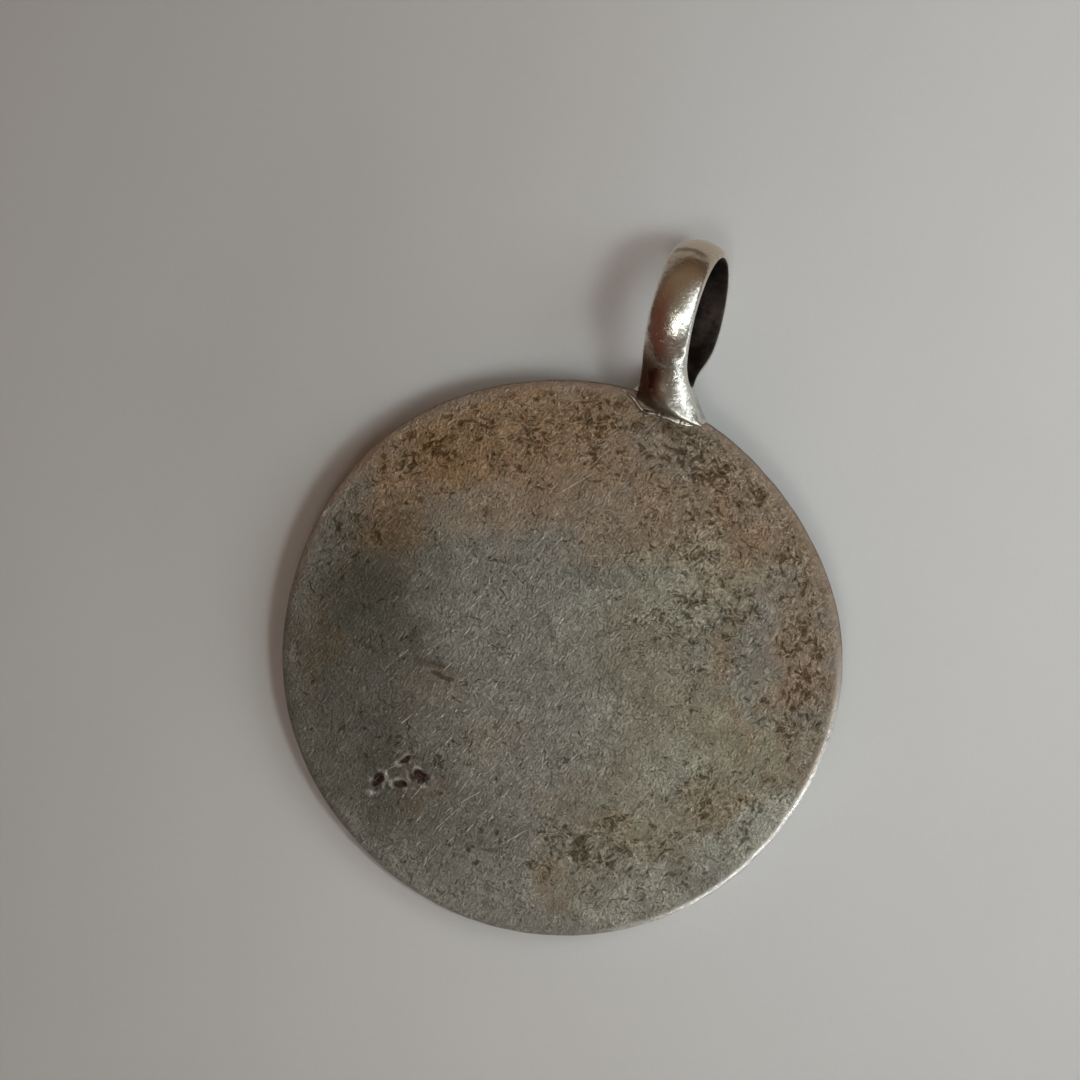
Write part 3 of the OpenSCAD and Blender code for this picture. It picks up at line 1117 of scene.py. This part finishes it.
def add_paper(stage):
    """Material of the floor: plain pale paper."""
    material = bpy.data.materials.new("pale_paper")
    shading = Shading(material)
    coords = shading.value("ShaderNodeTexCoord", output="Object")
    place = shading.vector("MULTIPLY", coords, (1 / MM,) * 3)
    tooth = shading.noise(place, 0.5, 3.0, 0.6)
    cloud = shading.noise(place, 9.0, 2.0, 0.5)
    darker = (*(channel * 0.90 for channel in stage.paper[:3]), 1.0)
    shading.finish("ShaderNodeOutputMaterial", "ShaderNodeBsdfPrincipled", {
        "Base Color": shading.mixed(tooth * 0.25 + cloud * 0.5, stage.paper, darker),
        "Roughness": 0.9,
        "Specular IOR Level": 0.15,
        "Normal": shading.bump(tooth * 0.012),
    })
    return material


def add_surroundings(stage):
    """World: a dim room, red-brown to the left, warm to the right, dark along the horizon."""
    world = bpy.data.worlds.new("room")
    shading = Shading(world)
    direction = shading.value("ShaderNodeTexCoord", output="Generated")
    right = (math.cos(CLOCK_TURN), math.sin(CLOCK_TURN), 0)
    ahead = (-math.sin(CLOCK_TURN), math.cos(CLOCK_TURN), 0)
    side = shading.between(shading.dot(direction, right), -0.75, -0.05)
    far = shading.between(shading.dot(direction, ahead), 0.1, 0.9)
    upward = shading.dot(direction, (0, 0, 1))
    colour = shading.painted(
        stage.room_left,
        (side, stage.room_right),
        (far * 0.8, stage.room_far),
        (shading.between(upward, 0.30, 0.05) * 0.8, stage.horizon),
        (shading.between(upward, 0.80, 0.96), stage.overhead),
    )
    sockets = {"Color": colour, "Strength": stage.room_strength}
    shading.finish("ShaderNodeOutputWorld", "ShaderNodeBackground", sockets)
    bpy.context.scene.world = world


def add_light(name, stage, sizes):
    """A soft light that points at the disc's middle, or aside of it."""

    def setting(key):
        return getattr(stage, f"{name}_{key}")

    lamp_data = bpy.data.lights.new(name, "AREA")
    lamp_data.shape = "RECTANGLE"
    lamp_data.size = setting("size")
    lamp_data.size_y = setting("tall")
    lamp_data.energy = setting("power")
    lamp_data.color = setting("tint")[:3]
    lamp_data.spread = setting("spread")
    lamp = bpy.data.objects.new(name, lamp_data)
    reach, height, side = setting("distance") / MM, setting("height"), setting("side")
    flat = reach * math.cos(height)
    up = reach * math.sin(height)
    lamp.location = on_stage(flat * math.cos(side), flat * math.sin(side), up, sizes)
    outward = lamp.location - on_stage(setting("aim") / MM, 0, 0, sizes)
    lamp.rotation_euler = outward.to_track_quat("Z", "Y").to_euler()
    bpy.context.scene.collection.objects.link(lamp)


# What a user can change


def length(name, description, default):
    """A size in metres."""
    return FloatProperty(name=name, description=description, default=default, min=0.0, precision=6,
                         subtype="DISTANCE", unit="LENGTH")


def turn(name, description, degrees):
    """An angle."""
    return FloatProperty(name=name, description=description, default=math.radians(degrees),
                         subtype="ANGLE", unit="ROTATION")


def paint(name, description, colour):
    """A colour with alpha, given as eight-bit screen values."""
    return FloatVectorProperty(name=name, description=description, default=linear(*colour), size=4,
                               min=0.0, max=1.0, subtype="COLOR")


def power(name, description, watts):
    """Power of a light."""
    return FloatProperty(name=name, description=description, default=watts, min=0.0, precision=5,
                         subtype="POWER", unit="POWER")


class PendantSizes(bpy.types.PropertyGroup):
    """Sizes of the pendant, the same as its CAD part's."""

    disc_radius: length("Disc radius", "Mean radius of the disc", 0.01405)
    disc_thickness: length("Disc thickness", "Thickness of the disc", 0.0011)
    edge_round: length("Edge round", "How far the worn edge is rounded", 0.0004)
    hole_radius: length("Hole radius", "Radius of the hole in the bail", 0.00325)
    band_width: length("Band width", "Width of the bail's band", 0.00225)
    band_thickness: length("Band thickness", "Thickness of the band at its middle", 0.0007)
    band_edge: length("Band edge", "Thickness of the band at its two edges", 0.00035)
    bail_gap: length("Bail gap", "Gap between the rim and the band, which the foot fills", 0.00025)
    bail_drop: length("Bail drop", "How far the ring's centre lies below the disc's middle", 0.0003)
    seam_radius: length("Solder", "Radius of the line of solder along the seam", 0.0001)
    bail_lean: turn("Bail lean", "Turn of the hole in the plane of the disc", 7)
    bail_tip: turn("Bail tip", "Tip of the hole out of the plane of the disc", 13)
    back_spacing: length("Back spacing", "Distance between the points of the disc's back", 0.000125)
    face_spacing: length("Face spacing", "Distance between the points of the disc's face", 0.00035)
    rim_points: IntProperty(
        name="Rim points", description="Points round the disc's rim", default=640, min=48)


class PendantFinish(bpy.types.PropertyGroup):
    """Colours of the silver and its tarnish, some also used for painted shade and reflection."""

    silver: paint("Silver", "Bare rubbed silver", (238, 233, 225))
    grey_tarnish: paint("Grey tarnish", "Thin grey tarnish in the middle of the disc", (158, 156, 146))
    olive_tarnish: paint("Olive tarnish", "Tarnish with an olive cast", (170, 166, 141))
    brown_tarnish: paint("Brown tarnish", "Thick brown tarnish near the rim", (171, 141, 107))
    rose_tarnish: paint("Rose tarnish", "Tarnish with a pink cast", (172, 148, 122))
    # Also the colour of painted shade along the disc's upper outline and at the bail's foot, and of a
    # painted dark reflection on the bail's far end
    pit: paint("Pit", "Dirt in the pits", (88, 69, 48))
    bevel: paint("Bevel", "Pale pink-brown of the worn edge", (178, 155, 136))
    rust: paint("Rust", "Red-brown dirt in the deep dents", (70, 38, 30))
    brushed: paint("Brushed", "Brushed silver with little tarnish", (192, 192, 178))
    scratch: paint("Scratch", "Bright metal in a scratch", (226, 224, 216))
    bail_warm: paint("Warm silver", "Faint warm tarnish on the bail", (208, 194, 174))
    bail_cool: paint("Cool silver", "Cool cast of the rubbed crest of the bail", (212, 216, 206))
    bail_brown: paint("Bail brown", "Brown tarnish on the far end of the bail", (186, 164, 134))
    # Painted reflection: the dim red-brown room on the lower left of the bail
    bail_crook: paint("Bail crook", "Red-brown tarnish where the bail meets the disc", (100, 64, 51))
    # The wall of the hole: dark tarnish and painted shade
    hole: paint("Hole", "Black tarnish on the wall of the hole", (50, 44, 42))
    hole_worn: paint("Hole worn", "Thinner tarnish on the wall of the hole", (86, 78, 74))
    disc_metallic: FloatProperty(
        name="Disc metallic", description="Share of bare metal in the disc's tarnish",
        default=0.75, min=0.0, max=1.0, subtype="FACTOR")


# Lights: what each is, its power, colour, width, height, distance, height above the floor and
# direction from the right as angles, angle of its beam, and how far right it points
LIGHTS = {
    "key": ("main light", 0.0655, (236, 248, 248), 0.034, 0.034, 0.20, 68, -12, 170, 0.0),
    "fill": ("broad light", 0.0100, (229, 227, 225), 0.12, 0.12, 0.20, 72, -60, 26, 0.055),
    "near": ("near light", 0.0140, (232, 242, 250), 0.05, 0.05, 0.09, 45, 20, 170, 0.0),
    "low": ("low window light", 0.21, (240, 246, 250), 0.42, 0.035, 0.30, 14, -48, 170, 0.0),
}


def light_settings():
    """The properties of every light, by name."""
    made = {}
    for name, light in LIGHTS.items():
        what, watts, tint, wide, tall, distance, height, side, spread, aim = light
        title = name.capitalize()
        made |= {
            f"{name}_power": power(f"{title} power", f"Power of the {what}", watts),
            f"{name}_tint": paint(f"{title} tint", f"Colour of the {what}", tint),
            f"{name}_size": length(f"{title} size", f"Width of the {what}", wide),
            f"{name}_tall": length(f"{title} tall", f"Height of the {what} itself", tall),
            f"{name}_distance": length(f"{title} distance", f"Distance of the {what}", distance),
            f"{name}_height": turn(f"{title} height", f"Angle of the {what} above the floor", height),
            f"{name}_side": turn(f"{title} side", f"Direction of the {what}, from the right", side),
            f"{name}_spread": turn(f"{title} spread", f"Angle of the beam of the {what}", spread),
            f"{name}_aim": length(f"{title} aim", f"How far right the {what} points", aim),
        }
    return made


class StageSettings(bpy.types.PropertyGroup):
    """Floor, light and camera."""

    paper: paint("Paper", "Pale paper that the pendant lies on", (229, 229, 228))
    room_left: paint("Room left", "Dim red-brown light from the left", (100, 58, 46))
    room_right: paint("Room right", "Warm light from the right", (112, 94, 78))
    room_far: paint("Room far", "Olive light from beyond the bail", (134, 112, 86))
    horizon: paint("Horizon", "Dark band round the horizon", (44, 26, 19))
    overhead: paint("Overhead", "Dim light from straight above", (130, 115, 94))
    room_strength: FloatProperty(
        name="Room strength", description="Strength of the light from the room", default=0.74, min=0.0)
    eye_height: length("Eye height", "Height of the camera above the floor", 0.170)
    lens: FloatProperty(
        name="Lens", description="Focal length of the camera in millimetres",
        default=111.2, min=10.0, subtype="DISTANCE_CAMERA")
    floor_width: length("Floor width", "Width of the floor", 0.8)


StageSettings.__annotations__.update(light_settings())

# Edges sharper than this, in degrees, aren't smoothed over; a whole pendant has these faces or more
SHARP_ANGLE = 50
FEWEST_FACES = 50000

# Where the camera stands, in millimetres right and up the picture from the disc's middle
EYE_RIGHT = -1.037
EYE_UP = 5.978


class PENDANT_OT_body(bpy.types.Operator):
    """Build the pendant: the tarnished disc, the polished bail and the solder between them"""

    bl_idname = "pendant.body"
    bl_label = "Pendant"

    def execute(self, context):
        sizes, finish = context.scene.pendant_sizes, context.scene.pendant_finish
        tarnish, polish = add_tarnish(sizes, finish), add_polish(sizes, finish)
        points, faces, values = disc_points(sizes)
        pendant = new_piece("pendant_silver", points, faces, sizes, values)
        pendant.data.materials.append(tarnish)
        others = []
        for name, (points, faces) in {"bail": bail_points(sizes), "seam": seam_points(sizes)}.items():
            part = new_piece(name, points, faces, sizes)
            part.data.materials.append(polish)
            others.append(part)
        for part in (pendant, *others):
            point_outward(part)
        soldered(pendant, others)
        pendant.data.shade_smooth()
        pendant.data.set_sharp_from_angle(angle=math.radians(SHARP_ANGLE))
        if len(pendant.data.materials) < 2 or len(pendant.data.polygons) < FEWEST_FACES:
            raise RuntimeError("the disc and the bail weren't joined")
        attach(pendant, "root")
        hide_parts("pendant")
        return {"FINISHED"}


class PENDANT_OT_stage(bpy.types.Operator):
    """Set the stage: pale paper, four soft lights and the camera straight above"""

    bl_idname = "pendant.stage"
    bl_label = "Stage"

    def execute(self, context):
        scene, sizes, stage = context.scene, context.scene.pendant_sizes, context.scene.pendant_stage
        half = stage.floor_width / 2
        mesh = bpy.data.meshes.new("paper")
        corners = [(-half, -half, 0), (half, -half, 0), (half, half, 0), (-half, half, 0)]
        mesh.from_pydata(corners, [], [(0, 1, 2, 3)])
        mesh.materials.append(add_paper(stage))
        floor = bpy.data.objects.new("paper", mesh)
        scene.collection.objects.link(floor)

        for name in LIGHTS:
            add_light(name, stage, sizes)
        add_surroundings(stage)

        lens = bpy.data.cameras.new("eye")
        lens.lens = stage.lens
        lens.sensor_width = 36.0
        lens.clip_start, lens.clip_end = 0.01, 10.0
        eye = bpy.data.objects.new("eye", lens)
        eye.location = on_stage(EYE_RIGHT, EYE_UP, stage.eye_height / MM, sizes)
        eye.rotation_euler = (0, 0, CLOCK_TURN)
        scene.collection.objects.link(eye)
        scene.camera = eye
        scene.view_settings.view_transform = "Standard"
        return {"FINISHED"}


class PENDANT_PT_panel(bpy.types.Panel):
    """Sizes, colours and the two builders"""

    bl_label = "Round silver pendant"
    bl_idname = "PENDANT_PT_panel"
    bl_space_type = "VIEW_3D"
    bl_region_type = "UI"
    bl_category = "Pendant"

    def draw(self, context):
        for operator in OPERATORS:
            self.layout.operator(operator.bl_idname)
        for name in SETTINGS:
            group = getattr(context.scene, name)
            box = self.layout.box()
            for key in group.__annotations__:
                box.prop(group, key)


SETTINGS = {
    "pendant_sizes": PendantSizes,
    "pendant_finish": PendantFinish,
    "pendant_stage": StageSettings,
}
OPERATORS = (PENDANT_OT_body, PENDANT_OT_stage)
CLASSES = (*SETTINGS.values(), *OPERATORS, PENDANT_PT_panel)


def register():
    for cls in CLASSES:
        bpy.utils.register_class(cls)
    for name, cls in SETTINGS.items():
        setattr(bpy.types.Scene, name, PointerProperty(type=cls))


def unregister():
    for name in SETTINGS:
        delattr(bpy.types.Scene, name)
    for cls in reversed(CLASSES):
        bpy.utils.unregister_class(cls)


def main():
    register()
    bpy.ops.pendant.body()
    bpy.ops.pendant.stage()


if __name__ == "__main__":
    main()
